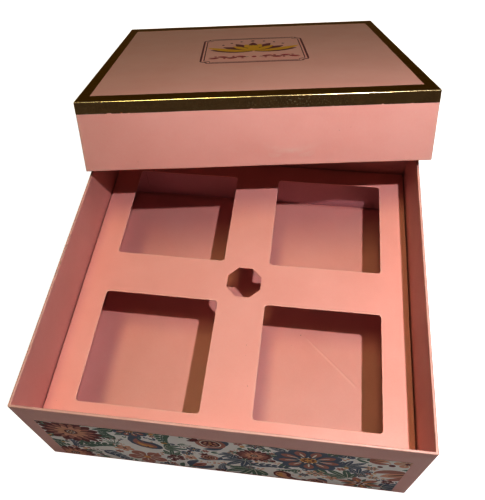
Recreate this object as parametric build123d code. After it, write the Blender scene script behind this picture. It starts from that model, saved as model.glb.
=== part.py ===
from build123d import *
import math
import os

# A sweet box of paper-wrapped greyboard: a square base, a card platform tray with four windows
# inside it, and the lid, which is lifted off and leans on the back of the base. Lengths are in
# millimetres. The origin is the middle of the base's underside, +Y runs to the rear, +Z up.

# Board, card and paper
board = 1.2
card = 0.5
wrap_paper = 0.15
stay_tape = 0.1
print_paper = 0.1
gold_foil = 0.06
corner_radius = 0.8

# The base
base_width = 230.0
base_depth = 230.0
base_height = 87.0
turn_under = 16.0
bottom_sheet_margin = 3.0
stay_leg = 18.0

# The printed panels on the base's four walls
panel_side_margin = 9.0
panel_foot = 2.5
panel_head = 19.5

# The platform tray
tray_play = 0.7
deck_drop = 41.0
side_rail = 18.6
front_rail = 18.65
rear_rail = 15.05
long_bar = 32.6
cross_bar = 32.9
window_radius = 2.3
finger_hole = 23.4
finger_hole_sides = 8
glue_tab = 15.0

# The lid
lid_clearance = 2.3
lid_height = 48.5
gold_side_border = 7.8
gold_end_border = 12.5
gold_wall_band = 8.2

# How the lifted lid lies: turned until its side walls jam on the base, rear edge on the table
lid_turn = 7.86
lid_overhang = 21.8
jam_gap = 0.25
table_gap = 0.1


def both(half):
    """Return the span that reaches half either side of zero."""
    return -half, half


def block(x, y, z):
    """Return the block that fills a span along each axis."""
    corner = [low for low, high in (x, y, z)]
    size = [high - low for low, high in (x, y, z)]
    return Pos(*corner) * Box(*size, align=(Align.MIN, Align.MIN, Align.MIN))


def prism(half_x, half_y, radius, z):
    """Return a centred upright prism over the span z, its upright edges rounded by radius."""
    low, high = z
    outline = Rectangle(2 * half_x, 2 * half_y)
    if radius > 0:
        outline = RectangleRounded(2 * half_x, 2 * half_y, radius)
    return Pos(0, 0, low) * extrude(outline, high - low)


def sleeve(half_x, half_y, thickness, z, radius=0):
    """Return a rectangular sleeve, its outside at half_x and half_y, over the span z."""
    inner_radius = max(radius - thickness, 0)
    inside = prism(half_x - thickness, half_y - thickness, inner_radius, z)
    return prism(half_x, half_y, radius, z) - inside


class BoardTray:
    """Boards glued into an open square tray, with its wrap: the base, or turned over, the lid."""

    def __init__(self, width, depth, height, face_papers, opens_up):
        self.half_x = width / 2
        self.half_y = depth / 2
        self.height = height
        self.face = face_papers * wrap_paper
        self.opens_up = opens_up
        self.board_x = self.half_x - wrap_paper - stay_tape
        self.board_y = self.half_y - wrap_paper - stay_tape
        self.tape_radius = corner_radius - wrap_paper
        self.board_radius = self.tape_radius - stay_tape
        self.clear_x = self.board_x - board - wrap_paper
        self.clear_y = self.board_y - board - wrap_paper
        self.floor = self.face + board
        self.wall_span = self.span(self.face, height - wrap_paper)

    def span(self, low, high):
        """Return the z span from low to high, both measured from the closed face."""
        if self.opens_up:
            return low, high
        return self.height - high, self.height - low

    def boards(self):
        """Return the five boards: front and rear run full width, the sides butt between them."""
        inner_x = self.board_x - board
        inner_y = self.board_y - board
        z = self.wall_span
        outline = prism(self.board_x, self.board_y, self.board_radius, z)
        return {
            "floor": block(both(inner_x), both(inner_y), self.span(self.face, self.floor)),
            "front": outline & block(both(self.board_x), (-self.board_y, -inner_y), z),
            "rear": outline & block(both(self.board_x), (inner_y, self.board_y), z),
            "left": block((-self.board_x, -inner_x), both(inner_y), z),
            "right": block((inner_x, self.board_x), both(inner_y), z),
        }

    def corner_stays(self):
        """Return the four tapes that hold the wall boards together round their outer corners."""
        reach_x = self.board_x + stay_tape
        reach_y = self.board_y + stay_tape
        tape = sleeve(reach_x, reach_y, stay_tape, self.wall_span, self.tape_radius)
        between = block(both(reach_x - stay_leg), both(reach_y), self.wall_span)
        between += block(both(reach_x), both(reach_y - stay_leg), self.wall_span)
        return tape - between

    def wrap(self, skipped_papers):
        """Return the wall paper: outside skin, the fold over the rim, and the turn-in."""
        outside = self.span(skipped_papers * wrap_paper, self.height)
        skin = sleeve(self.half_x, self.half_y, wrap_paper, outside, corner_radius)
        wall = self.half_x - self.clear_x
        rim = self.span(self.height - wrap_paper, self.height)
        skin += sleeve(self.half_x, self.half_y, wall, rim, corner_radius)
        turn_in = self.span(self.floor, self.height)
        skin += sleeve(self.clear_x + wrap_paper, self.clear_y + wrap_paper, wrap_paper, turn_in)
        return skin

    def lining(self):
        """Return the sheet that covers the closed face on the inside."""
        z = self.span(self.floor, self.floor + wrap_paper)
        return block(both(self.clear_x), both(self.clear_y), z)


base = BoardTray(base_width, base_depth, base_height, face_papers=2, opens_up=True)

wall_thickness = base.half_x - base.clear_x
lid_width = base_width + 2 * (lid_clearance + wall_thickness)
lid_depth = base_depth + 2 * (lid_clearance + wall_thickness)
lid = BoardTray(lid_width, lid_depth, lid_height, face_papers=1, opens_up=False)

base_floor_top = base.floor + wrap_paper
deck_top = base_height - deck_drop
deck_under = deck_top - card
tray_x = base.clear_x - tray_play
tray_y = base.clear_y - tray_play
window_width = tray_x - side_rail - long_bar / 2
window_depth = (2 * tray_y - front_rail - rear_rail - cross_bar) / 2
window_setback = (front_rail - rear_rail) / 2


def base_parts():
    """Return the base's nodes: boards, tapes, wrap, lining and bottom sheet."""
    nodes = {"base_%s_board" % side: solid for side, solid in base.boards().items()}
    nodes["base_corner_stays"] = base.corner_stays()
    folded = (wrap_paper, 2 * wrap_paper)
    under = sleeve(base.half_x, base.half_y, turn_under, folded, corner_radius)
    nodes["base_wrap"] = base.wrap(skipped_papers=1) + under
    nodes["base_floor_lining"] = base.lining()
    sheet_x = base.half_x - bottom_sheet_margin
    sheet_y = base.half_y - bottom_sheet_margin
    nodes["base_bottom_sheet"] = block(both(sheet_x), both(sheet_y), (0, wrap_paper))
    return nodes


def print_panels():
    """Return one printed panel for each wall of the base, pasted on the wrap."""
    z = (panel_foot, base_height - panel_head)
    across = both(base.half_x - panel_side_margin)
    along = both(base.half_y - panel_side_margin)
    return {
        "front_print_panel": block(across, (-base.half_y - print_paper, -base.half_y), z),
        "rear_print_panel": block(across, (base.half_y, base.half_y + print_paper), z),
        "left_print_panel": block((-base.half_x - print_paper, -base.half_x), along, z),
        "right_print_panel": block((base.half_x, base.half_x + print_paper), along, z),
    }


def deck():
    """Return the tray's deck, with four rounded windows and the finger hole between them."""
    sheet = Rectangle(2 * tray_x, 2 * tray_y)
    centre_x = (long_bar + window_width) / 2
    centre_y = (cross_bar + window_depth) / 2
    window = RectangleRounded(window_width, window_depth, window_radius)
    for side in (-1, 1):
        for end in (-1, 1):
            sheet -= Pos(side * centre_x, window_setback + end * centre_y) * window
    hole_radius = finger_hole / 2 / math.cos(math.pi / finger_hole_sides)
    hole = RegularPolygon(hole_radius, finger_hole_sides, rotation=180 / finger_hole_sides)
    sheet -= Pos(0, window_setback) * hole
    return Pos(0, 0, deck_under) * extrude(sheet, card)


def tray_parts():
    """Return the tray's nodes: the deck, its four folded skirts and the tabs that hold them."""
    z = (base_floor_top, deck_under)
    inner_x = tray_x - card
    inner_y = tray_y - card
    tab_solids = []
    for side in (-1, 1):
        for end in (-1, 1):
            x = sorted((side * inner_x, side * (inner_x - glue_tab)))
            y = sorted((end * inner_y, end * (inner_y - card)))
            tab_solids.append(block(x, y, z))
    return {
        "tray_deck": deck(),
        "tray_front_skirt": block(both(tray_x), (-tray_y, -inner_y), z),
        "tray_rear_skirt": block(both(tray_x), (inner_y, tray_y), z),
        "tray_left_skirt": block((-tray_x, -inner_x), both(inner_y), z),
        "tray_right_skirt": block((inner_x, tray_x), both(inner_y), z),
        "tray_glue_tabs": Compound(tab_solids),
    }


def gold_border():
    """Return the foil round the lid's top edge: a border on the top and a band on the walls."""
    z = lid.span(-gold_foil, gold_wall_band)
    foil_radius = corner_radius + gold_foil
    outside = prism(lid.half_x + gold_foil, lid.half_y + gold_foil, foil_radius, z)
    body = prism(lid.half_x, lid.half_y, corner_radius, lid.span(0, gold_wall_band))
    window_x = lid.half_x - gold_side_border
    window_y = lid.half_y - gold_end_border
    return outside - body - block(both(window_x), both(window_y), z)


def lid_place():
    """Return where the lid lies.

    In plan its side walls touch the base at two points: the left wall at the left rim, and the
    right wall at the rear right corner. The turn sets how far apart these are from front to
    rear. The lean is what brings the left wall's lower edge to the rim at the first point.
    """
    turn = math.radians(lid_turn)
    jam_width = 2 * (lid.clear_x - jam_gap)
    hold_back = (jam_width - base_width * math.cos(turn)) / math.sin(turn)
    run = lid_depth - lid_overhang
    lean = math.asin((base_height - table_gap) / run)
    hold_x = -base.half_x - jam_gap / math.cos(turn)
    hold_y = base.half_y - hold_back
    flat_run = run * math.cos(lean)
    x = hold_x + lid.clear_x * math.cos(turn) - flat_run * math.sin(turn)
    y = hold_y + lid.clear_x * math.sin(turn) + flat_run * math.cos(turn)
    print("lid rear edge middle %.3f %.3f, lean %.3f degrees" % (x, y, math.degrees(lean)))
    rear_edge = Pos(x, y, table_gap) * Rot(0, 0, lid_turn) * Rot(-math.degrees(lean), 0, 0)
    return rear_edge * Pos(0, -lid.half_y, 0)


def lid_parts():
    """Return the lid's nodes where the lifted lid lies."""
    nodes = {}
    for side, solid in lid.boards().items():
        nodes["lid_%s_board" % side.replace("floor", "top")] = solid
    nodes["lid_corner_stays"] = lid.corner_stays()
    top_paper = prism(lid.half_x, lid.half_y, corner_radius, lid.span(0, wrap_paper))
    nodes["lid_wrap"] = lid.wrap(skipped_papers=0) + top_paper
    nodes["lid_lining"] = lid.lining()
    nodes["lid_gold_border"] = gold_border()
    place = lid_place()
    return {name: place * solid for name, solid in nodes.items()}


def main():
    """Write one STEP file for each node."""
    os.makedirs("parts", exist_ok=True)
    groups = (base_parts(), print_panels(), tray_parts(), lid_parts())
    for nodes in groups:
        for name, shape in nodes.items():
            export_step(shape, "parts/%s.step" % name)


main()
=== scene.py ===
import math

import bpy
import numpy as np
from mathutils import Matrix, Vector


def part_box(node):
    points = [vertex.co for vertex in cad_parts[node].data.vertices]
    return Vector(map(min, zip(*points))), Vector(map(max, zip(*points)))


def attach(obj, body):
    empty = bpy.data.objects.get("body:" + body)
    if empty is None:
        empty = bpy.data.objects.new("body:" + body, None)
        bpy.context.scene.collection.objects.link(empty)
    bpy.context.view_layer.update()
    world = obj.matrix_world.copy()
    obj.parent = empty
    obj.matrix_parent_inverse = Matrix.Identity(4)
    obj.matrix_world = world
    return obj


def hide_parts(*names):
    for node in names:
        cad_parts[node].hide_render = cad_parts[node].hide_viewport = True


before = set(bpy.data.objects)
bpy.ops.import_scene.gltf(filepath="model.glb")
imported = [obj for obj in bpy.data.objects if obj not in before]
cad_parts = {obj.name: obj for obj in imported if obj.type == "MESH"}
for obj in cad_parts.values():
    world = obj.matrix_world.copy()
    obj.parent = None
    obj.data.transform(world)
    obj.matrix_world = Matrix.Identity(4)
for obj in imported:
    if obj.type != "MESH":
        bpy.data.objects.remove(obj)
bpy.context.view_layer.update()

# Sizes are in metres, and the box's own are read from the frame
MM = 0.001
base_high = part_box("base_wrap")[1]
floor_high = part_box("base_floor_lining")[1]
deck_low, deck_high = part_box("tray_deck")
panel_low, panel_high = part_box("front_print_panel")

BASE_HALF = base_high.x
BASE_TOP = base_high.z
INSIDE_HALF = floor_high.x
FLOOR_TOP = floor_high.z
WALL = BASE_HALF - INSIDE_HALF
PAPER = 0.15 * MM
CORNER_RADIUS = 0.8 * MM
INSIDE_RADIUS = 0.35 * MM
RIM_RADIUS = 0.5 * MM
FOOT_RADIUS = 0.25 * MM
TURN_UNDER = 16 * MM

# The raised crease in the bottom sheet, the part that is cut finely for it, and the flat edge
CREASE_START = np.array([45.2, -13.4]) * MM
CREASE_END = np.array([85.7, -50.7]) * MM
CREASE_HEIGHT = 0.22 * MM
CREASE_WIDTH = 0.55 * MM
CREASE_FADE_OUTSIDE = 4 * MM
CREASE_FADE_INSIDE = 6 * MM
FINE_MIDDLE = (66 * MM, -32 * MM)
FINE_HALF = 28 * MM
CREASE_WEAR = (0.08 * MM, 0.2 * MM)
CREASE_PALENESS = 0.45
FLAT_EDGE = 2 * MM

# The platform tray
TRAY_HALF = deck_high.x
DECK_TOP = deck_high.z
CARD = deck_high.z - deck_low.z
FOLD_RADIUS = 0.7 * MM
SIDE_RAIL = 18.6 * MM
FRONT_RAIL = 18.65 * MM
REAR_RAIL = 15.05 * MM
LONG_BAR = 32.6 * MM
CROSS_BAR = 32.9 * MM
WINDOW_RADIUS = 2.3 * MM
FINGER_HOLE = 23.4 * MM
FINGER_HOLE_SIDES = 8
DECK_SAG = 0.5 * MM
CARD_LIP = 0.1 * MM
LIP_WEAR = (1.0, 0.25)

# A window's span each way from the middle of the four, which is set back from the deck's own
WINDOW_SETBACK = (FRONT_RAIL - REAR_RAIL) / 2
WINDOW_X = (LONG_BAR / 2, TRAY_HALF - SIDE_RAIL)
WINDOW_Y = (CROSS_BAR / 2, TRAY_HALF - REAR_RAIL - WINDOW_SETBACK)

# The lid
LID_CLEARANCE = 2.3 * MM
LID_HALF = BASE_HALF + LID_CLEARANCE + WALL
LID_HEIGHT = 48.5 * MM
LID_BOARD = 1.2 * MM
LID_EDGE_RADIUS = 0.75 * MM
POLE_RADIUS = 1 * MM
GOLD_FOIL = 0.06 * MM
GOLD_SIDE_BORDER = 7.8 * MM
GOLD_END_BORDER = 12.5 * MM
GOLD_WALL_BAND = 8.2 * MM
GOLD_INNER_RADIUS = 0.05 * MM

# Where the foil is chipped, chafed and rubbed, and where its pale tone paints a highlight along the fold
# and glints along the hem. Its waves are given as (seed, length)
CHIP_WAVES = (31, 3.5 * MM)
CHIP_HEIGHT = 0.35 * MM
HEM_GLINT_WAVES = (33, 9 * MM)
HEM_REACH = 0.8 * MM
FOLD_HIGHLIGHT_REACH = 0.75 * MM
RUB_PLACE = 25 * MM
RUB_REACH = 30 * MM
RUB_FADE = (-2 * MM, -0.5 * MM)
RUB_WEAR = (0.08, 0.42)

# The dent in the lid's front: its arc, and the painted highlight along its crest
DENT_CENTRE = (22 * MM, 49 * MM)
DENT_RADIUS = 41 * MM
DENT_DEPTH = 0.38 * MM
DENT_FADE = (6 * MM, 34 * MM)
DENT_SLOPE = (-1.5 * MM, 2.5 * MM)
CREST_HIGHLIGHT_DEPTH = 2.6 * MM
CREST_HIGHLIGHT_WIDTH = 1.7 * MM
CREST_HIGHLIGHT_REACH = 15 * MM

# How the lifted lid lies against the base
LID_TURN = math.radians(7.86)
LID_OVERHANG = 21.8 * MM
JAM_GAP = 0.25 * MM
TABLE_GAP = 0.1 * MM

# The printed panels
PANEL_FACE = -panel_low.y
PANEL_LOW = np.array([-panel_high.x, panel_low.z])
PANEL_HIGH = np.array([panel_high.x, panel_high.z])
PRINT_SEED = 40
INK = 0.012 * MM

# Wear at rims, folds and corners, with a painted highlight along the rims, and each piece's waves as (seed,
# length, height)
BASE_PALENESS = 0.65
RIM_WEAR_AND_HIGHLIGHT = 0.5 * MM
CORNER_WEAR_START = 0.3 * MM
CORNER_WEAR = 0.6 * MM
BASE_WAVES = (3, 45 * MM, 0.03 * MM)
FLOOR_WAVES = (8, 55 * MM, 0.12 * MM)
TRAY_WAVES = (21, 60 * MM, 0.10 * MM)
LID_WAVES = (5, 42 * MM, 0.05 * MM)

# Points this close are joined, and a radius this small counts as none
WELD = 0.002 * MM
HAIR = 0.001 * MM

# The steps along a profile, where it shows and behind, and how many steps run along a side
BASE_STEPS = (4 * MM, 12 * MM, 80)
LID_STEPS = (2.5 * MM, 12 * MM, 120)
GOLD_STEPS = (1 * MM, 2 * MM, 420)


def lid_place():
    """Return the turn and the shift that lay the flat, centred lid against the base.

    The rear lower edge is on the table. The side walls jam on the left rim and on the rear right
    corner, and the lean brings the left wall's lower edge to the rim where it jams.
    """
    clear = LID_HALF - WALL
    hold_back = 2 * (clear - JAM_GAP) - 2 * BASE_HALF * math.cos(LID_TURN)
    hold_back /= math.sin(LID_TURN)
    run = 2 * LID_HALF - LID_OVERHANG
    lean = math.asin((BASE_TOP - TABLE_GAP) / run)
    flat_run = run * math.cos(lean)
    cos, sin = math.cos(LID_TURN), math.sin(LID_TURN)
    x = -BASE_HALF - JAM_GAP / cos + clear * cos - flat_run * sin
    y = BASE_HALF - hold_back + clear * sin + flat_run * cos
    turn = np.array([[cos, -sin, 0], [sin, cos, 0], [0, 0, 1]])
    cos, sin = math.cos(lean), math.sin(lean)
    turned = turn @ np.array([[1, 0, 0], [0, cos, sin], [0, -sin, cos]])
    return turned, np.array([x, y, TABLE_GAP]) + turned @ np.array([0, -LID_HALF, 0])


LID_ROTATION, LID_SHIFT = lid_place()


def waves(points, seed, length, height=1.0):
    """Return a smooth random height for each point, near -height to height.

    It is the sum of sine waves, each with its own direction, phase and length near the one given.
    """
    count = 20
    rng = np.random.default_rng(seed)
    directions = rng.normal(size=(count, 3))
    directions /= np.linalg.norm(directions, axis=1)[:, None]
    pitch = 2 * math.pi / (length * rng.uniform(0.7, 1.6, count))
    phases = rng.uniform(0, 2 * math.pi, count)
    total = np.sin(points @ (directions * pitch[:, None]).T + phases).sum(-1)
    return height * total / math.sqrt(count)


def smooth_step(value, low, high):
    """Return 0 below low, 1 above high, and a smooth S between them."""
    share = np.clip((value - low) / (high - low), 0, 1)
    return share * share * (3 - 2 * share)


# Grids and profiles

def polyline(corners, steps):
    """Return the points along straight runs between corners, each run cut into its own steps."""
    corners = np.asarray(corners, float)
    parts = [
        start + (end - start) * (np.arange(count) / count)[:, None]
        for start, end, count in zip(corners[:-1], corners[1:], steps)
    ]
    return np.concatenate(parts)


def rounded_path(corners, step):
    """Return the points of a path through square corners, each given as (inset, height, radius).

    A corner is replaced by a quarter circle of its radius, and a run between corners is cut into
    equal steps near the step given.
    """
    places = np.array([corner[:2] for corner in corners], float)
    points = [places[:1]]
    for index in range(1, len(corners)):
        place, last, radius = places[index], points[-1][-1], corners[index][2]
        back = (places[index - 1] - place) / np.linalg.norm(places[index - 1] - place)
        start = place + back * radius
        count = max(1, int(round(np.linalg.norm(start - last) / step)))
        points.append(last + (start - last) * (np.arange(1, count + 1) / count)[:, None])
        if radius > 0:
            ahead = (places[index + 1] - place) / np.linalg.norm(places[index + 1] - place)
            angle = np.linspace(0, math.pi / 2, 6)[1:, None]
            centre = place + (back + ahead) * radius
            points.append(centre - ahead * radius * np.cos(angle) - back * radius * np.sin(angle))
    return np.concatenate(points)


def sheet_profile(face, paper, step, back_step):
    """Return a thin sheet's closed profile: along its face, then back along its other side.

    The other side's corners are the face's, moved by the paper's thickness to the right of the runs
    that meet there, or to the left where it is negative, and their radii are as much smaller.
    """
    places, radii = np.split(np.array(face), [2], axis=1)
    ahead = np.sign(np.diff(places, axis=0))
    right = np.column_stack([ahead[:, 1], -ahead[:, 0]])
    moved = np.clip(np.vstack([right[:1], right]) + np.vstack([right, right[-1:]]), -1, 1)
    back = np.hstack([places + paper * moved, np.maximum(radii - abs(paper), 0)])[::-1]
    return np.concatenate([rounded_path(face, step), rounded_path(back, back_step)])


def rounded_loop(half_x, half_y, radius, side_steps, corner_steps=6):
    """Return a rounded rectangle's points, counter-clockwise: four quarter circles and the runs
    between them. Loops with the same steps match point for point."""
    radius = max(radius, HAIR)
    centres = np.array([[1, -1], [1, 1], [-1, 1], [-1, -1]]) * [half_x - radius, half_y - radius]
    angles = np.radians([-90, 0, 90, 180])[:, None] + np.linspace(0, math.pi / 2, corner_steps + 1)
    arcs = centres[:, None] + radius * np.stack([np.cos(angles), np.sin(angles)], -1)
    share = np.linspace(0, 1, side_steps + 1)[1:-1, None]
    runs = [a[-1] * (1 - share) + b[0] * share for a, b in zip(arcs, np.roll(arcs, -1, 0))]
    return np.concatenate([part for pair in zip(arcs, runs) for part in pair])


def carried_round(half, profile, radii, side_steps):
    """Carry a profile round a rounded square.

    Row k of the grid is the square drawn in by the profile's inset k, at its height k, with
    corners of radius k. An inset may differ between the sides and the ends, as (x, y, height).
    """
    loops = []
    for point, radius in zip(profile, radii):
        inset_x, inset_y = point[0], point[-2]
        loop = rounded_loop(half - inset_x, half - inset_y, radius, side_steps)
        loops.append(np.column_stack([loop, np.full(len(loop), point[-1])]))
    return np.stack(loops)


def linked(name, data):
    """Return a new object that holds data, linked to the scene."""
    thing = bpy.data.objects.new(name, data)
    bpy.context.scene.collection.objects.link(thing)
    return thing


class Patchwork:
    """Grids of points that are joined, where their borders meet, into one mesh."""

    def __init__(self, grids, **how):
        self.parts = []
        self.total = 0
        self.add(grids, **how)

    def add(self, grids, close_rows=False, close_columns=False, flip=False, wear=0.0, tint=0):
        """Add a grid of rows by columns of points, or a stack of them, closed either way if asked.

        tint is the index of each grid's material.
        """
        rows, columns = grids.shape[-3:-1]
        r, c = np.indices((rows - (not close_rows), columns - (not close_columns)))
        next_r, next_c = (r + 1) % rows, (c + 1) % columns
        quads = np.stack([
            r * columns + c, r * columns + next_c, next_r * columns + next_c, next_r * columns + c,
        ], -1).reshape(-1, 4)[:, ::-1 if flip else 1]
        points = grids.reshape(-1, 3)
        first = self.total + np.arange(0, len(points), rows * columns)
        wear = np.broadcast_to(wear, grids.shape[:-1]).ravel()
        tint = np.repeat(np.broadcast_to(tint, len(first)), len(quads))
        self.parts.append((points, (first[:, None, None] + quads).reshape(-1, 4), wear, tint))
        self.total += len(points)

    def piece(self, name, body, materials, form=None, smooth=None, closed=True):
        """Make the object. Points that coincide are joined, and a quad with two equal corners
        becomes a triangle. A closed mesh is turned so that it holds a positive volume."""
        points, quads, wear, tint = (np.concatenate(column) for column in zip(*self.parts))
        keys = np.round(points / WELD).astype(np.int64)
        _, first, inverse = np.unique(keys, axis=0, return_index=True, return_inverse=True)
        points, quads, wear = points[first], inverse.ravel()[quads], wear[first]
        if form is not None:
            points = form(points)
        if closed:
            a, b, c, d = (points[quads[:, k]] for k in range(4))
            volume = np.einsum("ij,ij->", np.cross(a, b), c) + np.einsum("ij,ij->", np.cross(a, c), d)
            if volume < 0:
                quads = quads[:, ::-1]
        kept = quads != np.roll(quads, -1, 1)
        whole = kept.sum(1) > 2
        quads, tint, kept = quads[whole], tint[whole], kept[whole]
        corners = quads[kept]
        mesh = bpy.data.meshes.new(name)
        mesh.vertices.add(len(points))
        mesh.vertices.foreach_set("co", points.astype(np.float32).ravel())
        mesh.loops.add(len(corners))
        mesh.loops.foreach_set("vertex_index", corners.astype(np.int32))
        mesh.polygons.add(len(quads))
        starts = np.concatenate([[0], np.cumsum(kept.sum(1))[:-1]])
        mesh.polygons.foreach_set("loop_start", starts.astype(np.int32))
        mesh.polygons.foreach_set("material_index", tint.astype(np.int32))
        mesh.update(calc_edges=True)
        mesh.validate()
        layer = mesh.attributes.new("wear", "FLOAT", "POINT")
        layer.data.foreach_set("value", wear.astype(np.float32))
        for material in materials:
            mesh.materials.append(material)
        thing = linked(name, mesh)
        if smooth is None:
            mesh.shade_flat()
        else:
            mesh.shade_smooth()
            mesh.set_sharp_from_angle(angle=math.radians(smooth))
        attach(thing, body)
        return thing


# Finishes

class Nodes:
    """The nodes that work out a colour, for a material or for the sky."""

    def __init__(self, tree):
        self.tree = tree

    def node(self, kind, inputs, output=0, **settings):
        """Add a node, set its settings, fill its inputs with values or links, return an output."""
        node = self.tree.nodes.new("ShaderNode" + kind)
        for key, value in settings.items():
            setattr(node, key, value)
        for key, value in inputs.items():
            if isinstance(value, bpy.types.NodeSocket):
                self.tree.links.new(value, node.inputs[key])
            else:
                node.inputs[key].default_value = value
        return node.outputs[output]

    def mixed(self, share, first, second):
        """Return first mixed towards second by share. Each is a link, or red, green and blue."""
        first, second = (
            value if isinstance(value, bpy.types.NodeSocket) else (*value, 1.0) for value in (first, second)
        )
        return self.node("Mix", {0: share, 6: first, 7: second}, 2, data_type="RGBA")

    def glow(self, seen, shine, given):
        """Return the colour given off: one where the camera looks straight at it, one where a gloss
        mirrors it, and one that lights the object."""
        glossy = self.node("LightPath", {}, "Is Glossy Ray")
        straight = self.node("LightPath", {}, "Is Camera Ray")
        return self.mixed(straight, self.mixed(glossy, given, shine), seen)


class Finish(Nodes):
    """A procedural material: a Principled shader and the nodes that feed it."""

    def __init__(self, name, **constants):
        self.material = bpy.data.materials.new(name)
        self.material.use_nodes = True
        super().__init__(self.material.node_tree)
        self.shader = self.tree.nodes["Principled BSDF"]
        for socket, value in constants.items():
            self.shader.inputs[socket.replace("_", " ")].default_value = value
        self.place = self.tree.nodes.new("ShaderNodeTexCoord").outputs["Object"]

    def noise(self, size, detail=3.0, roughness=0.55, stretch=None):
        """Return noise whose features are about size across, in metres."""
        place = self.place
        if stretch is not None:
            place = self.node("Mapping", {"Vector": place, "Scale": stretch})
        inputs = {"Vector": place, "Scale": 1 / size, "Detail": detail, "Roughness": roughness}
        return self.node("TexNoise", inputs, "Fac")

    def levels(self, value, low, high, to_low=0.0, to_high=1.0):
        """Return value stretched so that low and high become to_low and to_high, with limits."""
        return self.node("MapRange", {"Value": value, 1: low, 2: high, 3: to_low, 4: to_high})

    def maths(self, operation, first, second):
        """Return first and second joined by a maths operation."""
        return self.node("Math", {0: first, 1: second}, operation=operation)

    def wear(self):
        """Return the mesh's wear value at each point: how worn it is, and on some pieces how strong a
        painted highlight is.
        """
        return self.node("Attribute", {}, "Fac", attribute_name="wear")

    def bump(self, height, depth, under=None):
        """Return a normal that rises by depth, in metres, where height is 1."""
        inputs = {"Height": height, "Distance": depth, "Strength": 1.0}
        if under is not None:
            inputs["Normal"] = under
        return self.node("Bump", inputs)

    def feed(self, **links):
        """Link values to the shader's sockets and return the material."""
        for socket, value in links.items():
            self.tree.links.new(value, self.shader.inputs[socket.replace("_", " ")])
        return self.material


def wrapping_paper(name, tone, roughness=0.44, pale_tone=(0.90, 0.70, 0.62)):
    """Dyed uncoated paper: cloudy colour, fine fibre, a few specks, and a pale tone where the mesh's wear
    is high: scuffs, and on some pieces a painted highlight.
    """
    paper = Finish(name, Specular_IOR_Level=0.5)
    clouds = paper.levels(paper.noise(38 * MM, detail=4), 0.3, 0.7, 0.0, 0.65)
    cloudy = paper.mixed(clouds, tone, [c * d for c, d in zip(tone, (0.94, 0.87, 0.85))])
    fibre = paper.noise(0.9 * MM, detail=2, stretch=(1.0, 1.0, 0.35))
    fibrous = paper.mixed(paper.levels(fibre, 0.35, 0.72, 0.0, 0.09), cloudy, pale_tone)
    specks = paper.levels(paper.noise(1.5 * MM, detail=1), 0.76, 0.80)
    sparse = paper.levels(paper.noise(31 * MM, detail=1), 0.64, 0.68, 0.0, 0.8)
    speckled = paper.mixed(paper.maths("MULTIPLY", specks, sparse), fibrous, (0.30, 0.12, 0.09))
    rub = paper.levels(paper.noise(5.5 * MM, detail=3, roughness=0.6), 0.25, 0.75, 0.15, 0.6)
    # Pale where the wear is high: scuffs, and painted highlights on the rims and the lid's dent.
    worn_and_highlit = paper.mixed(paper.maths("MULTIPLY", paper.wear(), rub), speckled, pale_tone)
    tooth = paper.bump(fibre, 0.012 * MM)
    swell = paper.bump(paper.noise(30 * MM, detail=2), 0.30 * MM, tooth)
    gloss = paper.levels(paper.noise(14 * MM, detail=3), 0.3, 0.7, roughness - 0.04, roughness + 0.05)
    return paper.feed(Base_Color=worn_and_highlit, Roughness=gloss, Normal=swell)


def grey_board():
    """Grey pulp board: flecks of dark fibre over a cloudy dull ground."""
    board = Finish("grey_board", Roughness=0.88, Specular_IOR_Level=0.2)
    flecks = board.noise(1.1 * MM, detail=5, stretch=(1.0, 0.4, 1.0))
    ground = board.mixed(board.noise(12 * MM), (0.30, 0.28, 0.25), (0.40, 0.37, 0.33))
    flecked = board.mixed(board.levels(flecks, 0.35, 0.7), ground, (0.16, 0.15, 0.14))
    return board.feed(Base_Color=flecked, Normal=board.bump(flecks, 0.06 * MM))


def kraft_tape():
    """Thin brown gummed paper tape, with long fibres along it."""
    tape = Finish("kraft_tape", Specular_IOR_Level=0.3)
    fibre = tape.noise(1.4 * MM, detail=4, stretch=(1.0, 1.0, 0.2))
    tone = tape.mixed(fibre, (0.42, 0.27, 0.15), (0.55, 0.38, 0.23))
    return tape.feed(Base_Color=tone, Roughness=tape.levels(fibre, 0.3, 0.7, 0.5, 0.7),
                     Normal=tape.bump(fibre, 0.02 * MM))


def gold_leaf():
    """Hot foil over paper: dark mirror gold with a rolled grain, pinholes, and a pale tone where worn.

    Wear up to a half lets pinholes through, and past a half the foil turns a pale tone: rubbing, and where
    the border puts it along the fold and the hem, a painted highlight and painted glints.
    """
    foil = Finish("gold_leaf", Metallic=1.0, Specular_Tint=(0.42, 0.29, 0.17, 1.0))
    clouds = foil.levels(foil.noise(9 * MM, detail=4), 0.3, 0.7)
    streaks = foil.noise(2.5 * MM, detail=4, stretch=(0.12, 1.0, 1.0))
    tone = foil.mixed(clouds, (0.52, 0.335, 0.140), (0.60, 0.40, 0.180))
    streaked = foil.mixed(foil.levels(streaks, 0.35, 0.7, 0.0, 0.25), tone, (0.38, 0.235, 0.080))
    wear = foil.wear()
    pits = foil.levels(foil.noise(1.0 * MM, detail=2), 0.59, 0.66)
    pitted = foil.maths("MULTIPLY", pits, foil.levels(wear, 0.0, 0.5))
    grain = foil.levels(foil.noise(1.6 * MM, detail=3), 0.30, 0.55, 0.35, 1.0)
    # Pale past a half of wear: rubbing, and the painted highlight along the fold and painted glints at the
    # hem.
    rubbed = foil.maths("MULTIPLY", foil.levels(wear, 0.5, 1.0), grain)
    pale = foil.maths("MAXIMUM", pitted, rubbed)
    pitted_and_highlit = foil.mixed(pale, streaked, (0.98, 0.90, 0.62))
    rough = foil.levels(foil.noise(5 * MM, detail=4), 0.3, 0.7, 0.17, 0.25)
    ripple = foil.bump(foil.noise(0.8 * MM, detail=3), 0.010 * MM)
    swell = foil.bump(foil.noise(7 * MM, detail=2), 0.06 * MM, ripple)
    return foil.feed(Base_Color=pitted_and_highlit, Roughness=rough, Normal=swell)


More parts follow.
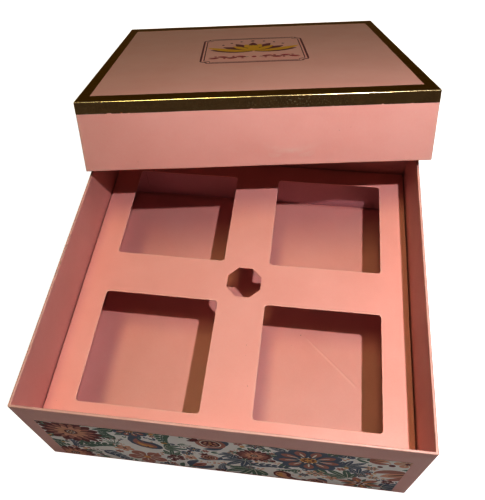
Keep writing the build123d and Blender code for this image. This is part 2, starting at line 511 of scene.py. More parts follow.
def print_ink(name, tone):
    """Offset ink on paper: a wash that pales along each stroke, uneven cover, a faint screen grain."""
    ink = Finish(name, Specular_IOR_Level=0.08)
    cover = ink.noise(3.2 * MM, detail=5, roughness=0.65)
    pale = tuple(0.86 * c + 0.12 * (0.5 + 0.5 * c / max(tone)) for c in tone)
    deep = tuple(0.72 * c for c in tone)
    wash = ink.mixed(ink.levels(ink.wear(), 0.05, 0.95), deep, pale)
    uneven = ink.mixed(ink.levels(cover, 0.3, 0.7, 0.35, 0.75), wash, tone)
    grain = ink.noise(0.5 * MM, detail=1)
    grained = ink.mixed(ink.levels(grain, 0.5, 0.75, 0.0, 0.5), uneven, pale)
    return ink.feed(Base_Color=grained, Roughness=ink.levels(cover, 0.3, 0.7, 0.42, 0.55),
                    Normal=ink.bump(grain, 0.004 * MM))


pink_paper = wrapping_paper("pink_paper", (0.85, 0.475, 0.435))
pink_card = wrapping_paper("pink_card", (0.905, 0.49, 0.45), 0.46)
card_back = wrapping_paper("card_back", (0.73, 0.44, 0.49), 0.58)
# The lid's paper is the same pink, painted lighter to stand in for light on the lid.
lid_pink_painted_lighter = wrapping_paper("lid_pink_painted_lighter", (0.91, 0.515, 0.47))
# The base's wrap is the same pink, painted darker to stand in for shade on its walls.
base_pink_painted_darker = wrapping_paper("base_pink_painted_darker", (0.79, 0.445, 0.41))
print_ground = wrapping_paper("print_ground", (0.93, 0.88, 0.865), 0.46, (0.96, 0.93, 0.91))
NODE_FINISHES = {
    "_board": grey_board(), "_corner_stays": kraft_tape(), "_print_panel": print_ground,
    "base_bottom_sheet": pink_paper, "lid_lining": pink_paper, "tray_glue_tabs": card_back,
}
gold = gold_leaf()
INK_TONES = {
    "leaf_green": (0.155, 0.225, 0.175),
    "deep_navy": (0.145, 0.165, 0.230),
    "rust": (0.56, 0.25, 0.20),
    "orange": (0.80, 0.44, 0.31),
    "ochre": (0.84, 0.48, 0.045),
    "amber": (0.82, 0.45, 0.18),
    "maroon": (0.22, 0.050, 0.050),
    "crimson": (0.48, 0.045, 0.050),
    "cream": (0.93, 0.85, 0.76),
}
inks = [print_ink("ink_" + name, tone) for name, tone in INK_TONES.items()]


def finish_nodes():
    """Give the CAD nodes whose names have one of the endings its finish in all their slots."""
    for name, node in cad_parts.items():
        for ending, material in NODE_FINISHES.items():
            if name.endswith(ending):
                node.data.materials.clear()
                node.data.materials.append(material)


def edge_wear_and_rim_highlight(grid, half, rim):
    """Return how pale a wrap is made: most at its rim's height, as scuffing and a painted highlight, and
    along its upright corners, as scuffing.
    """
    rim_scuff_and_highlight = np.exp(-np.abs(grid[..., 2] - rim) / RIM_WEAR_AND_HIGHLIGHT)
    corner_gap = half - np.abs(grid[..., :2]).min(-1)
    return np.maximum(rim_scuff_and_highlight, np.exp(-np.maximum(corner_gap - CORNER_WEAR_START, 0) / CORNER_WEAR))


# The base

def wrap_grid(half, face, paper, steps):
    """Carry a paper's profile round a box."""
    profile = sheet_profile(face, paper, *steps[:2])
    radii = np.interp(profile[:, 0], [0, WALL], [CORNER_RADIUS, INSIDE_RADIUS])
    return carried_round(half, profile, radii, steps[2])


def base_paper():
    """The wrap: from under the walls up, over the rim and down inside."""
    face = [
        (TURN_UNDER, PAPER, 0), (0, PAPER, FOOT_RADIUS), (0, BASE_TOP, RIM_RADIUS),
        (WALL, BASE_TOP, RIM_RADIUS), (WALL, FLOOR_TOP, 0),
    ]
    grid = wrap_grid(BASE_HALF, face, PAPER, BASE_STEPS)
    # Paled at the rim and the upright corners: scuffing, with a painted highlight along the rim.
    wear = BASE_PALENESS * edge_wear_and_rim_highlight(grid, BASE_HALF, BASE_TOP)
    patch = Patchwork(grid, close_rows=True, close_columns=True, wear=wear)
    paper = patch.piece("base_paper", "base", [base_pink_painted_darker], smooth=40,
                        form=lambda p: p + waves(p, *BASE_WAVES)[:, None])
    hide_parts("base_wrap")


def graded_lines(half, middle, steps):
    """Return lines from -half to half, closely set about middle and further apart beyond."""
    before, near, after = steps
    low, high = middle - FINE_HALF, middle + FINE_HALF
    return np.concatenate([
        np.linspace(-half, low, before)[:-1], np.linspace(low, high, near),
        np.linspace(high, half, after)[1:],
    ])


def floor_paper():
    """The sheet in the bottom: a grid with a raised crease that runs slantwise under one window.

    Its height is a narrow bell across the crease line, fading out at both ends, on long waves.
    """
    half = INSIDE_HALF
    lines_x = graded_lines(half, FINE_MIDDLE[0], (30, 120, 8))
    lines_y = graded_lines(half, FINE_MIDDLE[1], (16, 120, 24))
    x, y = np.meshgrid(lines_x, lines_y)
    length = np.linalg.norm(CREASE_END - CREASE_START)
    along = (CREASE_END - CREASE_START) / length
    run = (x - CREASE_START[0]) * along[0] + (y - CREASE_START[1]) * along[1]
    off = (x - CREASE_START[0]) * along[1] - (y - CREASE_START[1]) * along[0]
    beyond = np.abs(run - length / 2) - length / 2
    ends = smooth_step(beyond, -CREASE_FADE_INSIDE, CREASE_FADE_OUTSIDE)
    crease = CREASE_HEIGHT * np.exp(-(off / CREASE_WIDTH) ** 2) * (1 - ends)
    flat = np.stack([x, y, np.zeros_like(x)], -1)
    swell = 0.5 * (FLOOR_WAVES[2] + waves(flat.reshape(-1, 3), *FLOOR_WAVES)).reshape(x.shape)
    top = flat.copy()
    top[..., 2] = FLOOR_TOP + crease + swell * (np.abs(x) < half - FLAT_EDGE)
    patch = Patchwork(top, wear=CREASE_PALENESS * smooth_step(crease, *CREASE_WEAR))
    sheet = patch.piece("floor_paper", "base", [pink_paper], smooth=50, closed=False)
    thicken(sheet, PAPER)
    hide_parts("base_floor_lining")


def thicken(thing, thickness, lip=None, back=0):
    """Give an open sheet its thickness, down from the face that shows, and soften its lips.

    back is how many material slots further on the finish of the sheet's back is.
    """
    wall = thing.modifiers.new("thickness", "SOLIDIFY")
    wall.thickness = thickness
    wall.offset = -1
    wall.use_even_offset = True
    wall.material_offset = back
    if lip is not None:
        soft = thing.modifiers.new("soft_lips", "BEVEL")
        soft.width = lip
        soft.segments = 2
        soft.limit_method = "ANGLE"
        soft.angle_limit = math.radians(60)


# The platform tray

CELL_CORNER_STEPS = 16
CELL_SIDE_STEPS = 20


def window_cell(side, end, flat_half):
    """Return one quarter of the deck as rings from a window's edge to the quarter's border.

    The border runs along the deck's outer edges and middle lines, and cuts the finger hole's
    quarter off its corner. Each ring is a straight mix of the window's loop and the border's.
    """
    (left, right), (low, high), radius = WINDOW_X, WINDOW_Y, WINDOW_RADIUS
    reach_x, reach_y = flat_half, flat_half - end * WINDOW_SETBACK
    hole = FINGER_HOLE / 2
    notch = hole * math.tan(math.pi / FINGER_HOLE_SIDES)
    half, run = CELL_CORNER_STEPS // 2, CELL_SIDE_STEPS
    border = polyline(
        [(right - radius, 0), (reach_x, 0), (reach_x, low + radius), (reach_x, high - radius),
         (reach_x, reach_y), (right - radius, reach_y), (left + radius, reach_y), (0, reach_y),
         (0, high - radius), (0, low + radius), (0, hole), (notch, hole), (hole, notch),
         (hole, 0), (left + radius, 0), (right - radius, 0)],
        [half, half, run, half, half, run, half, half, run, 3, 3, 4, 3, 3, run],
    )
    window = rounded_loop((right - left) / 2, (high - low) / 2, radius, run, CELL_CORNER_STEPS)
    window += [(left + right) / 2, (low + high) / 2]
    rings = np.array([0, 0.03, 0.09, 0.2, 0.36, 0.55, 0.75, 0.92, 1])[:, None, None]
    flat = window + (border - window) * rings
    flat = flat * [side, end] + [0, WINDOW_SETBACK]
    if side * end < 0:
        flat = flat[:, ::-1]
    return np.dstack([flat, np.full(flat.shape[:2], DECK_TOP)])


def edge_points(span, flat_half, shift):
    """Return the places along a deck edge, from -flat_half to flat_half, where the cells meet it."""
    near = np.array([0, span[0] + WINDOW_RADIUS, span[1] - WINDOW_RADIUS])
    corners = np.concatenate([[-flat_half - shift], -near[:0:-1], near, [flat_half - shift]]) + shift
    half, run = CELL_CORNER_STEPS // 2, CELL_SIDE_STEPS
    return np.append(polyline(corners[:, None], [half, run, half, half, run, half]).ravel(), flat_half)


def tray_skirts(flat_half):
    """Return the folds and the skirts: a quarter turn and a drop, carried round the deck's edge."""
    x = edge_points(WINDOW_X, flat_half, 0)
    y = edge_points(WINDOW_Y, flat_half, WINDOW_SETBACK)
    edge = np.full(len(x) - 1, flat_half)
    loop = np.concatenate([
        np.column_stack([edge, y[:-1]]), np.column_stack([x[:0:-1], edge]),
        np.column_stack([-edge, y[:0:-1]]), np.column_stack([x[:-1], -edge]),
    ])
    outward = np.where(np.abs(loop) > flat_half - HAIR, np.sign(loop), 0)
    angle = np.linspace(0, math.pi / 2, 6)
    drop = np.linspace(FOLD_RADIUS, DECK_TOP - FLOOR_TOP, 10)[1:]
    out = np.concatenate([FOLD_RADIUS * np.sin(angle), np.full(len(drop), FOLD_RADIUS)])
    down = np.concatenate([FOLD_RADIUS * (1 - np.cos(angle)), drop])
    flat = loop + outward * out[:, None, None]
    return np.dstack([flat, np.broadcast_to(DECK_TOP - down[:, None], flat.shape[:2])])


def tray_form(points):
    """Let the card sag a little in the middle, on long waves, and leave its foot in place."""
    raised = smooth_step(points[:, 2], FLOOR_TOP, DECK_TOP)
    middle = np.cos(np.clip(points[:, :2] / TRAY_HALF, -1, 1) * math.pi / 2).prod(1)
    moved = points.copy()
    moved[:, 2] += raised * (waves(points, *TRAY_WAVES) - DECK_SAG * middle)
    return moved


def tray_card():
    """The tray: one sheet of card, die-cut, folded down on four sides, then made thick."""
    flat_half = TRAY_HALF - FOLD_RADIUS
    cells = np.stack([window_cell(side, end, flat_half) for side in (-1, 1) for end in (-1, 1)])
    lips = np.zeros(cells.shape[:3])
    lips[:, :2] = np.array(LIP_WEAR)[:, None]
    patch = Patchwork(cells, close_columns=True, flip=True, wear=lips)
    skirts = tray_skirts(flat_half)
    fold = np.exp(-np.abs(skirts[..., 2] - DECK_TOP) / RIM_WEAR_AND_HIGHLIGHT)
    patch.add(skirts, close_columns=True, flip=True, wear=fold)
    tray = patch.piece("folded_tray", "tray", [pink_card, card_back], form=tray_form,
                       smooth=40, closed=False)
    thicken(tray, CARD, CARD_LIP, back=1)
    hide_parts("tray_deck", "tray_front_skirt", "tray_rear_skirt", "tray_left_skirt",
                "tray_right_skirt")


# The lid

def lid_paper():
    """The lid's wrap: from the top's middle out over the edge, down, round the rim, and up inside."""
    ceiling = LID_HEIGHT - PAPER - LID_BOARD
    face = [
        (LID_HALF, LID_HEIGHT, 0), (LID_HALF - POLE_RADIUS, LID_HEIGHT, 0),
        (0, LID_HEIGHT, LID_EDGE_RADIUS), (0, 0, RIM_RADIUS), (WALL, 0, RIM_RADIUS), (WALL, ceiling, 0),
    ]
    grid = wrap_grid(LID_HALF, face, -PAPER, LID_STEPS)
    grid[[0, -1], :, :2] = 0
    depth, strength = front_dent(grid)
    # A painted highlight: the paper is paled along the dent's crest, where light catches it.
    crest_highlight = strength * np.exp(-((depth - CREST_HIGHLIGHT_DEPTH) / CREST_HIGHLIGHT_WIDTH) ** 2)
    crest_highlight *= np.exp(-((grid[..., 0] - DENT_CENTRE[0]) / CREST_HIGHLIGHT_REACH) ** 2)
    patch = Patchwork(grid, close_columns=True, wear=np.maximum(edge_wear_and_rim_highlight(grid, LID_HALF, 0), crest_highlight))
    paper = patch.piece("lid_paper", "lid", [lid_pink_painted_lighter], smooth=40, form=lid_form)
    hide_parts("lid_wrap")


def front_dent(points):
    """Return how far inside the dent's arc each point of the front is, and the dent's strength there.

    The arc is part of a circle about a point near the lid's edge, and the strength fades upwards.
    """
    depth = DENT_RADIUS - np.hypot(points[..., 0] - DENT_CENTRE[0], points[..., 2] - DENT_CENTRE[1])
    low = 1 - smooth_step(points[..., 2], *DENT_FADE)
    return depth, low * (points[..., 1] < -LID_HALF / 2)


def lid_form(points):
    """Give the lid's papers one shared unevenness, and carry them to where the lid lies.

    It is long shallow waves and the front's dent, a smooth step outwards across the dent's arc.
    """
    formed = points + waves(points, *LID_WAVES)[:, None]
    depth, strength = front_dent(points)
    formed[:, 1] -= DENT_DEPTH * smooth_step(depth, *DENT_SLOPE) * strength
    return formed @ LID_ROTATION.T + LID_SHIFT


def gold_border():
    """The foil: from its inner edge on the top, over the lid's edge, to its hem on the walls.

    On the ends the profile's insets are stretched, and the hem steps up in small chips where
    the waves are highest.
    """
    foil = GOLD_FOIL
    face = [(GOLD_SIDE_BORDER, LID_HEIGHT + foil, 0), (-foil, LID_HEIGHT + foil, LID_EDGE_RADIUS + foil),
            (-foil, LID_HEIGHT - GOLD_WALL_BAND, 0)]
    insets, heights = sheet_profile(face, -foil, *GOLD_STEPS[:2]).T
    inner = smooth_step(insets, LID_EDGE_RADIUS, GOLD_SIDE_BORDER)
    end_insets = insets * (1 + (GOLD_END_BORDER / GOLD_SIDE_BORDER - 1) * inner)
    radii = np.interp(insets, [-foil, WALL], [CORNER_RADIUS + foil, GOLD_INNER_RADIUS])
    grid = carried_round(LID_HALF, np.column_stack([insets, end_insets, heights]), radii, GOLD_STEPS[2])
    flat = grid.reshape(-1, 3)
    chips = smooth_step(waves(flat * [1, 1, 0], *CHIP_WAVES), 0.9, 1.5).reshape(grid.shape[:2])
    hem = smooth_step(LID_HEIGHT - grid[..., 2], GOLD_WALL_BAND - HEM_REACH, GOLD_WALL_BAND)
    grid[..., 2] += CHIP_HEIGHT * chips * hem
    on_front = smooth_step(-LID_HALF - grid[..., 1], *RUB_FADE)
    rubbed = RUB_WEAR[0] + RUB_WEAR[1] * np.exp(-((grid[..., 0] - RUB_PLACE) / RUB_REACH) ** 2) * on_front
    corner = np.array([LID_HALF, LID_HEIGHT])
    across = np.stack([np.abs(grid[..., :2]).max(-1), grid[..., 2]], -1) - corner
    # Pale along the fold: a painted highlight, with some rubbing.
    fold = np.exp(-(np.linalg.norm(across, axis=-1) / FOLD_HIGHLIGHT_REACH) ** 2)
    # Pale specks along the hem: chafing, with painted glints.
    hem_chafe_and_glints = smooth_step(waves(flat, *HEM_GLINT_WAVES), 0.0, 1.0).reshape(grid.shape[:2]) * hem
    wear = np.maximum(rubbed, np.maximum(fold, hem_chafe_and_glints))
    patch = Patchwork(grid, close_rows=True, close_columns=True, wear=wear)
    border = patch.piece("gold_border", "lid", [gold], smooth=40, form=lid_form)
    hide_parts("lid_gold_border")


# The print: every mark is a brush stroke

STROKE_STATIONS = 11
UP = math.pi / 2


def stroke(foot, heading, length, bend, half, ink, layer, lean=1.0, blunt=0.8):
    """Return brush strokes, one a row. A stroke starts at its foot and bends at a steady rate.

    At share t of its length it is half * sin(pi t^lean)^blunt wide to either side: a larger lean
    puts its widest place nearer its tip, and a smaller blunt makes its ends rounder.
    """
    foot = np.atleast_2d(foot)
    tint = list(INK_TONES).index(ink)
    columns = (foot[:, 0], foot[:, 1], heading, length, bend, half, lean, blunt, tint, layer)
    return np.stack(np.broadcast_arrays(*columns), -1).astype(float)


def dots(places, radius, ink, layer):
    """Return round marks at places: short straight strokes as wide as they are long."""
    return stroke(np.atleast_2d(places) - [radius, 0], 0, 2 * radius, 0, radius, ink, layer, 1, 0.5)


def round_places(count, radius, turn):
    """Return the angles and the places of count points evenly round a circle."""
    angle = turn + np.arange(count) * 2 * math.pi / count
    return angle, radius * np.column_stack([np.cos(angle), np.sin(angle)])


def ring(count, near, far, half, ink, layer, turn=0.0, bend=0.0, **shape):
    """Return petals that stand out round a centre, from the radius near to the radius far."""
    angle, foot = round_places(count, near, turn)
    return stroke(foot, angle, far - near, bend, half, ink, layer, **shape)


def round_of_dots(count, radius, size, ink, layer, turn=0.0):
    """Return dots evenly round a circle."""
    return dots(round_places(count, radius, turn)[1], size, ink, layer)


def placed(strokes, centre, size=1.0, turn=0.0, mirrored=False):
    """Return strokes mirrored if asked, then scaled, turned and moved to a place on the sheet."""
    out = strokes.copy()
    if mirrored:
        out[:, 0] *= -1
        out[:, 2] = math.pi - out[:, 2]
        out[:, 4] *= -1
    cos, sin = math.cos(turn), math.sin(turn)
    out[:, :2] = out[:, :2] @ np.array([[cos, sin], [-sin, cos]]) * size + centre
    out[:, 2] += turn
    out[:, [3, 5]] *= size
    return out


def together(*parts):
    """Return several sets of strokes as one."""
    return np.concatenate(parts)


def paired(strokes):
    """Return strokes with their mirror images."""
    return together(strokes, placed(strokes, (0, 0), mirrored=True))


def lines_of(strokes, shares):
    """Return the strokes' middle lines at shares of their length: sums of short steps, each
    heading the way the stroke does half way along the step."""
    middle = (shares[1:] + shares[:-1]) / 2
    angle = strokes[:, 2, None] + strokes[:, 4, None] * middle
    lengths = np.diff(shares) * strokes[:, 3, None]
    steps = np.stack([np.cos(angle), np.sin(angle)], -1) * lengths[..., None]
    feet = strokes[:, None, :2]
    return np.concatenate([feet, feet + np.cumsum(steps, 1)], 1)


def printed(name, body, strokes, low, high, form):
    """Make strokes into one thin piece of ink, each a closed strip.

    A strip's section has four corners, two on the sheet and two above it, and both edges meet at
    its ends. Marks that run over the sheet's border, from low to high, are cut off along it.
    """
    shares = (1 - np.cos(np.linspace(0, math.pi, STROKE_STATIONS))) / 2
    line = lines_of(strokes, shares)
    angle = strokes[:, 2, None] + strokes[:, 4, None] * shares
    lean, blunt = strokes[:, 6, None], strokes[:, 7, None]
    wide = strokes[:, 5, None] * np.abs(np.sin(math.pi * shares ** lean)) ** blunt
    wide[:, [0, -1]] = 0
    across = np.stack([-np.sin(angle), np.cos(angle)], -1) * wide[..., None]
    edges = np.clip(np.stack([line - across, line + across, line + across, line - across], 1), low, high)
    top = (strokes[:, 9] + 0.15 * (np.arange(len(strokes)) % 5)) * INK
    height = np.array([0, 0, 1, 1])[:, None] * top[:, None, None]
    points = np.concatenate([edges, np.broadcast_to(height[..., None], edges.shape[:3] + (1,))], -1)
    strips = Patchwork(points, close_rows=True, wear=shares, tint=strokes[:, 8])
    strips.piece(name, body, inks, form=form)


def whorl(count, reach, turn=0.0, bend=0.5):
    """Return leaves that show from under a flower, each with a paler vein."""
    return together(
        ring(count, 0.5, reach, 0.17, "leaf_green", 1, turn, bend=bend, lean=1.1),
        ring(count, 0.55, reach - 0.12, 0.018, "cream", 2, turn, bend=bend, blunt=0.3),
    )


def marigold():
    """Three rows of pointed petals round a beaded heart."""
    return together(
        whorl(5, 1.42, turn=0.3), ring(16, 0.28, 1.0, 0.15, "maroon", 3, lean=1.5, blunt=0.7),
        ring(16, 0.30, 0.80, 0.09, "rust", 4, turn=0.2, lean=1.3), ring(11, 0.15, 0.55, 0.10, "orange", 5),
        dots((0, 0), 0.21, "maroon", 6), round_of_dots(8, 0.12, 0.035, "cream", 7),
        dots((0, 0), 0.05, "amber", 7),
    )


def dahlia():
    """Broad navy petals, each with a rust tongue and a cream vein."""
    return together(
        whorl(6, 1.35, turn=0.1, bend=-0.5), ring(9, 0.2, 1.0, 0.29, "deep_navy", 3, lean=1.5, blunt=0.55),
        ring(9, 0.28, 0.84, 0.15, "rust", 4, lean=1.4, blunt=0.7),
        ring(9, 0.3, 0.66, 0.03, "cream", 5, blunt=0.4),
        dots((0, 0), 0.24, "amber", 5), round_of_dots(7, 0.14, 0.045, "maroon", 6),
    )


def star_flower(outer="rust", inner="amber"):
    """Six long pointed petals with darts between them."""
    return together(
        ring(6, 0.14, 1.0, 0.19, outer, 3, lean=0.9, blunt=1.1),
        ring(6, 0.3, 0.78, 0.07, "leaf_green", 2, turn=0.52), ring(6, 0.2, 0.66, 0.05, inner, 4),
        dots((0, 0), 0.15, "maroon", 5), dots((0, 0), 0.06, "cream", 6),
    )


def blossom(petals="orange", heart="maroon"):
    """Five round petals with a cream vein each."""
    return together(
        ring(5, 0.1, 1.0, 0.36, petals, 3, turn=0.3, lean=1.5, blunt=0.6),
        ring(5, 0.25, 0.66, 0.04, "cream", 4, turn=0.3), dots((0, 0), 0.19, heart, 5),
    )


def tulip(cup="rust", inner="orange"):
    """A cup of three petals on a bent stem with two leaves."""
    side = stroke((0.04, -0.3), 0.55, 1.30, 1.35, 0.20, cup, 4, 1.1, 0.7)
    leaf = stroke((0.0, -0.95), 0.45, 0.95, 0.9, 0.13, "leaf_green", 2, 1.2)
    return together(
        paired(together(side, leaf)), stroke((0, -0.32), UP, 1.15, 0, 0.27, inner, 3),
        stroke((0, -0.25), UP, 0.8, 0, 0.05, "maroon", 5, 1.0, 0.6),
        stroke((0, -0.3), -UP, 0.75, 0.3, 0.035, "leaf_green", 2, 1.0, 0.2),
        stroke((-0.2, -0.34), 0, 0.4, 0, 0.09, "leaf_green", 5, 1.0, 0.6),
        dots([(-0.34, 0.86), (0.34, 0.86)], 0.06, "amber", 3),
    )


def pomegranate():
    """A round fruit cut open on its seeds, with a crown and two leaves."""
    heart = (0, -0.05)
    return together(
        paired(stroke((0.05, -0.55), 0.1, 0.95, 0.95, 0.16, "deep_navy", 2, 1.1)),
        stroke((0, 0.42), np.radians([50, 90, 130]), 0.45, 0, 0.09, "maroon", 3, 0.9, 1.0),
        dots(heart, 0.56, "rust", 3), dots(heart, 0.40, "cream", 4), dots(heart, 0.35, "maroon", 5),
        placed(round_of_dots(7, 0.21, 0.06, "orange", 6), heart), dots(heart, 0.07, "amber", 6),
    )


def paisley(outer="deep_navy", inner="rust"):
    """A curled drop with two smaller ones inside it, a bead at its heart and three dots behind."""
    return together(
        stroke((-0.62, -0.45), 0.35, 2.1, 2.7, 0.47, outer, 3, 0.50, 0.75),
        stroke((-0.42, -0.36), 0.42, 1.45, 2.4, 0.30, inner, 4, 0.52),
        stroke((-0.26, -0.30), 0.5, 0.9, 1.9, 0.15, "amber", 5, 0.55),
        dots((-0.02, -0.19), 0.05, "maroon", 6),
        dots([(-0.72, 0.15), (-0.45, 0.42), (-0.05, 0.58)], 0.055, "orange", 3),
    )


def fern(ink="leaf_green", pairs=7, bend=0.9):
    """A bent midrib with pairs of leaflets that shorten towards its tip."""
    rib = stroke((0.1, -1.0), UP - bend / 2, 2.05, bend, 0.035, ink, 2, 0.8, 0.4)
    shares = np.linspace(0, 1, 4 * pairs)
    at = shares[2::4]
    foot = lines_of(rib, shares)[0][2::4]
    heading = rib[0, 2] + bend * at
    leaflets = [
        stroke(foot, heading + side * 0.85, 0.72 - 0.5 * at, -side * 0.5, 0.105, ink, 2, 1.2)
        for side in (-1, 1)
    ]
    return together(rib, stroke(foot[-1], heading[-1], 0.4, 0, 0.09, ink, 2), *leaflets)


def leaf_spray(ink="leaf_green"):
    """Five broad leaves that open from one foot, each with a cream vein."""
    angles = np.radians([15, 50, 90, 130, 165])
    bends = (UP - angles) * 0.5
    lengths = np.array([1.05, 1.45, 1.7, 1.45, 1.05])
    return together(
        stroke((0, -0.8), angles, lengths, bends, 0.2, ink, 2, 1.15, 0.75),
        stroke((0, -0.8), angles, 0.8 * lengths, 0.8 * bends, 0.02, "cream", 3, 1.0, 0.3),
    )


def berry_sprig():
    """A forked twig with a berry at each end."""
    angles = np.radians([40, 65, 90, 115, 140])
    twigs = stroke((0, -0.8), angles, 1.45, (UP - angles) * 0.5, 0.03, "leaf_green", 2, 1, 0.2)
    ends = lines_of(twigs, np.linspace(0, 1, 8))[:, -1]
    leaves = stroke((0, -0.75), np.radians([10, 170]), 0.7, [0.6, -0.6], 0.12, "leaf_green", 2)
    glints = dots(ends + [0.03, 0.04], 0.035, "cream", 4)
    return together(twigs, leaves, dots(ends, 0.13, "maroon", 3), glints)


def leaf_pair(ink="leaf_green"):
    """Two leaves on one foot."""
    return stroke((0, -0.7), np.radians([55, 125]), 1.5, [0.5, -0.5], 0.26, ink, 2)


def three_dots():
    """Three small dots in a triangle."""
    return round_of_dots(3, 0.55, 0.3, "orange", 2, turn=0.5)


FLOWERS = (
    dahlia, marigold, tulip, pomegranate, star_flower, paisley, marigold,
    lambda: tulip("deep_navy", "rust"), lambda: blossom("rust", "amber"),
    lambda: paisley("maroon", "orange"), pomegranate,
)
LEAVES = (leaf_spray, fern, lambda: leaf_spray("deep_navy"), lambda: fern("deep_navy", 6, -0.8))
SMALL = (
    blossom, lambda: star_flower("orange", "cream"), berry_sprig, lambda: blossom("deep_navy", "amber"),
    lambda: star_flower("deep_navy", "orange"), leaf_spray, lambda: blossom("maroon", "cream"),
)
TINY = (
    leaf_pair, three_dots, lambda: dots((0, 0), 0.6, "maroon", 2), lambda: leaf_pair("deep_navy"),
    lambda: ring(6, 0.1, 1.0, 0.25, "rust", 2), lambda: dots((0, 0), 0.6, "amber", 2),
)
# Each round of motifs: the family, how much of its radius a motif keeps clear, and the radii in mm
PRINT_ROUNDS = (
    (FLOWERS, 1.0, (21, 19, 17, 16, 15, 14, 14, 13, 13, 12, 12, 11, 11, 10, 10)),
    (LEAVES, 0.70, (15, 14, 13, 13, 12, 12, 11, 11, 10, 10, 9, 9, 9, 8, 8, 8, 8, 7, 7, 7, 7)),
    (SMALL, 0.88, (7.5, 7, 7, 6.5, 6.5) + (6,) * 3 + (5.5,) * 3 + (5,) * 4 + (4.5,) * 4 + (4,) * 10),
    (TINY, 0.85, (3.2,) * 22 + (2.6,) * 26 + (2.0,) * 32 + (1.5,) * 30),
)
SPOTS_TRIED = 500
OVER_BORDER_SHARE = 0.25
NESTED_SHARE = 0.93


def scattered_motifs(seed):
    """Return a panel's strokes: flowers first, then leaves, then ever smaller ones in the room left.

    A flower takes the first of many random spots that is clear of the others. Every later motif
    takes the one with least room to spare, so that it locks in beside its neighbours.
    """
    rng = np.random.default_rng(seed)
    taken = np.empty((0, 3))
    strokes = []
    for family, share_kept, radii in PRINT_ROUNDS:
        for index, radius in enumerate(np.array(radii) * MM):
            over = OVER_BORDER_SHARE * radius
            spots = rng.uniform(PANEL_LOW - over, PANEL_HIGH + over, (SPOTS_TRIED, 2))
            turn, mirrored = rng.uniform(0, 2 * math.pi), rng.random() < 0.5
            room = np.full(SPOTS_TRIED, 1.0)
            if len(taken):
                away = np.linalg.norm(spots[:, None] - taken[None, :, :2], axis=-1)
                room = (away - taken[:, 2]).min(1)
            fits = np.flatnonzero(room > share_kept * radius)
            if not len(fits):
                continue
            spot = spots[fits[0] if family is FLOWERS else fits[np.argmin(room[fits])]]
            strokes.append(placed(family[index % len(family)](), spot, radius, turn, mirrored))
            taken = np.vstack([taken, [*spot, radius * share_kept * NESTED_SHARE]])
    return np.concatenate(strokes)


def print_panel(side, seed, quarter_turns):
    """Print one wall's panel. The sheet's plane is stood up on the front wall, then turned round."""
    cos, sin = ((1, 0), (0, 1), (-1, 0), (0, -1))[quarter_turns]

    def stand(points):
        along, out = points[:, 0], -PANEL_FACE - points[:, 2]
        return np.column_stack([along * cos - out * sin, along * sin + out * cos, points[:, 1]])

    printed("floral_print_" + side, "base", scattered_motifs(seed), PANEL_LOW, PANEL_HIGH, stand)


LABEL_PLACE = np.array([0.5, 12.9]) * MM
LABEL_NOTCH = 5 * MM
LABEL_LINES = ((42.5 * MM, 0.75 * MM), (39.9 * MM, 0.38 * MM))
LABEL_MARK_HALF = 33 * MM
LOTUS_RISE = 4 * MM
VINE_RISE = -25 * MM


def frame_line(half, thin):
    """Return a square frame line whose corners are notched by quarter circles."""
    run = half - LABEL_NOTCH
    side = stroke((-run, half), 0, 2 * run, 0, thin, "maroon", 2, 1, 0.02)
    corner = stroke((run, half), -UP, LABEL_NOTCH * UP, UP, thin, "maroon", 2, 1, 0.02)
    quarter = together(side, corner)
    return together(*(placed(quarter, (0, 0), turn=k * UP) for k in range(4)))


def lotus():
    """An open lotus on two long leaves, with beads over it."""
    between = np.radians([45, 75, 105, 135])
    return together(
        stroke((0, -0.25), np.radians([30, 60, 90, 120, 150]), 0.9, 0, 0.14, "maroon", 3, 1.1),
        stroke((0, -0.25), between, 0.74, 0, 0.12, "ochre", 4, 1.1),
        stroke((0, -0.1), between, 0.42, 0, 0.014, "maroon", 5, 1, 0.3),
        paired(together(
            stroke((0.02, -0.27), 0.0, 1.27, 0.78, 0.13, "ochre", 5),
            stroke((0.02, -0.30), -0.10, 1.12, 0.62, 0.12, "maroon", 3),
            dots([(0.30, 0.80), (0.56, 0.66), (0.78, 0.46)], 0.035, "maroon", 3),
        )),
        stroke((0, -0.28), UP, 0.64, 0, 0.14, "ochre", 6, 1.1), dots((0, 0.86), 0.05, "maroon", 3),
    )


def vine():
    """A level stem to each side of a bead, with slim leaves and berries by turns above and below."""
    side = np.array([1, -1, 1, -1])
    foot = np.column_stack([0.18 + 0.22 * np.arange(4), np.zeros(4)])
    branch = together(
        stroke((0.12, 0), 0, 0.98, 0, 0.016, "maroon", 3, 1.0, 0.2),
        stroke(foot, side * 0.75, 0.30, -side * 0.9, 0.045, "crimson", 3, 1.1),
        dots(foot + np.column_stack([np.full(4, 0.10), -0.09 * side]), 0.035, "crimson", 3),
    )
    return together(paired(branch), dots((0, 0), 0.06, "crimson", 3))


def lid_label():
    """The label printed on the lid's top: a double frame round a lotus over a vine."""
    strokes = together(
        *(frame_line(half, thin) for half, thin in LABEL_LINES),
        placed(lotus(), (0, LOTUS_RISE), LABEL_MARK_HALF), placed(vine(), (0, VINE_RISE), LABEL_MARK_HALF),
    )

    def on_lid(points):
        return lid_form(np.column_stack([points[:, :2] + LABEL_PLACE, LID_HEIGHT + points[:, 2]]))

    printed("lid_label", "lid", strokes, -LID_HALF, LID_HALF, on_lid)


finish_nodes()
base_paper()
floor_paper()
tray_card()
lid_paper()
gold_border()
for number, side in enumerate(("front", "right", "rear", "left")):
    print_panel(side, PRINT_SEED + number, number)
lid_label()


# Stage, light and camera

STAGE_HALF = 1.1
STAGE_MIDDLE = 0.05
STAGE_DROP = 0.2 * MM


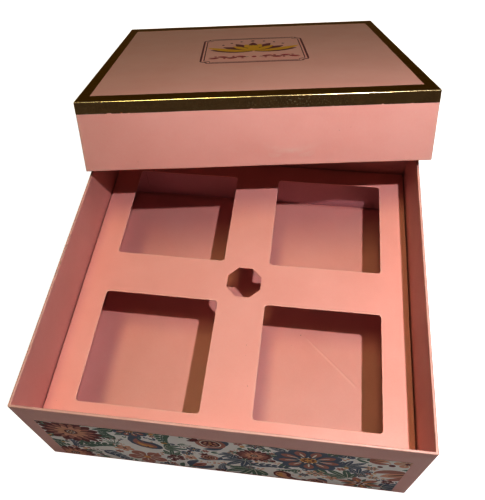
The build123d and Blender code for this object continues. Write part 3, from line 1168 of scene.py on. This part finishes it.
def stage():
    """A plain pale floor, wide enough for every view."""
    lines = np.linspace(-STAGE_HALF, STAGE_HALF, 3)
    x, y = np.meshgrid(lines, lines + STAGE_MIDDLE)
    patch = Patchwork(np.dstack([x, y, np.full(x.shape, -STAGE_DROP)]))
    pale = Finish("pale_floor", Base_Color=(0.50, 0.49, 0.49, 1.0), Roughness=0.9, Emission_Strength=1.0)
    pale.feed(Emission_Color=pale.glow((0.97, 0.97, 0.98), (0.17, 0.16, 0.19), (0.09, 0.0765, 0.065)))
    floor = patch.piece("pale_floor", "base", [pale.material], closed=False)
    floor.parent = None


def lamp(name, kind, place, aim, power, tint, **settings):
    """Add a lamp of a kind at a place, facing the point it is aimed at, and return it."""
    light = bpy.data.lights.new(name, kind)
    for key, value in settings.items():
        setattr(light, key, value)
    light.energy = power
    light.color = tint
    thing = linked(name, light)
    thing.location = place
    thing.rotation_euler = (Vector(aim) - Vector(place)).to_track_quat("-Z", "Y").to_euler()
    return thing


def lights():
    """A small key above the front right, a long lamp overhead, a low bounce in front and a faint
    sky. The ceiling shows in gloss alone."""
    lamp("key", "SPOT", (0.158, -0.080, 0.472), (0.08, -0.06, 0.04), 5.7, (0.965, 0.985, 1.03),
         spot_size=math.radians(140), spot_blend=1.0, shadow_soft_size=0.005)
    lamp("overhead", "AREA", (-0.27, -0.1, 2.2), (-0.27, -0.1, 0), 13.6, (0.96, 0.94, 0.52),
         shape="RECTANGLE", size=0.46, size_y=1.0)
    bounce = lamp("bounce", "AREA", (0, -0.66, 0.07), (0, -0.42, 0.4), 2.0, (0.99, 1.03, 1.10),
                  shape="RECTANGLE", size=1.3, size_y=0.5)
    ceiling = lamp("ceiling", "AREA", (0, 0, 3), (0, 0, 0), 75, (1.0, 0.97, 0.92), size=10)
    bounce.visible_glossy = False
    ceiling.visible_diffuse = False
    bounce.visible_camera = ceiling.visible_camera = False
    world = bpy.data.worlds.new("soft_studio")
    world.use_nodes = True
    sky = Nodes(world.node_tree)
    glow = sky.glow((1, 1, 1), (0.17, 0.16, 0.16), (0.010, 0.009, 0.009))
    sky.tree.links.new(glow, sky.tree.nodes["Background"].inputs["Color"])
    bpy.context.scene.world = world


def camera():
    """The photograph's own view."""
    lens = bpy.data.cameras.new("photo_view")
    lens.lens = 41.48065
    lens.sensor_width = 36
    lens.clip_start = 0.01
    eye = linked("photo_view", lens)
    eye.location = (0.03458136, -0.20552297, 0.38946196)
    eye.rotation_euler = [math.radians(angle) for angle in (34.59950972, 1.74497843, 6.89644144)]
    bpy.context.scene.camera = eye


stage()
lights()
camera()
view = bpy.context.scene.view_settings
view.view_transform = "Standard"
view.gamma = 0.68
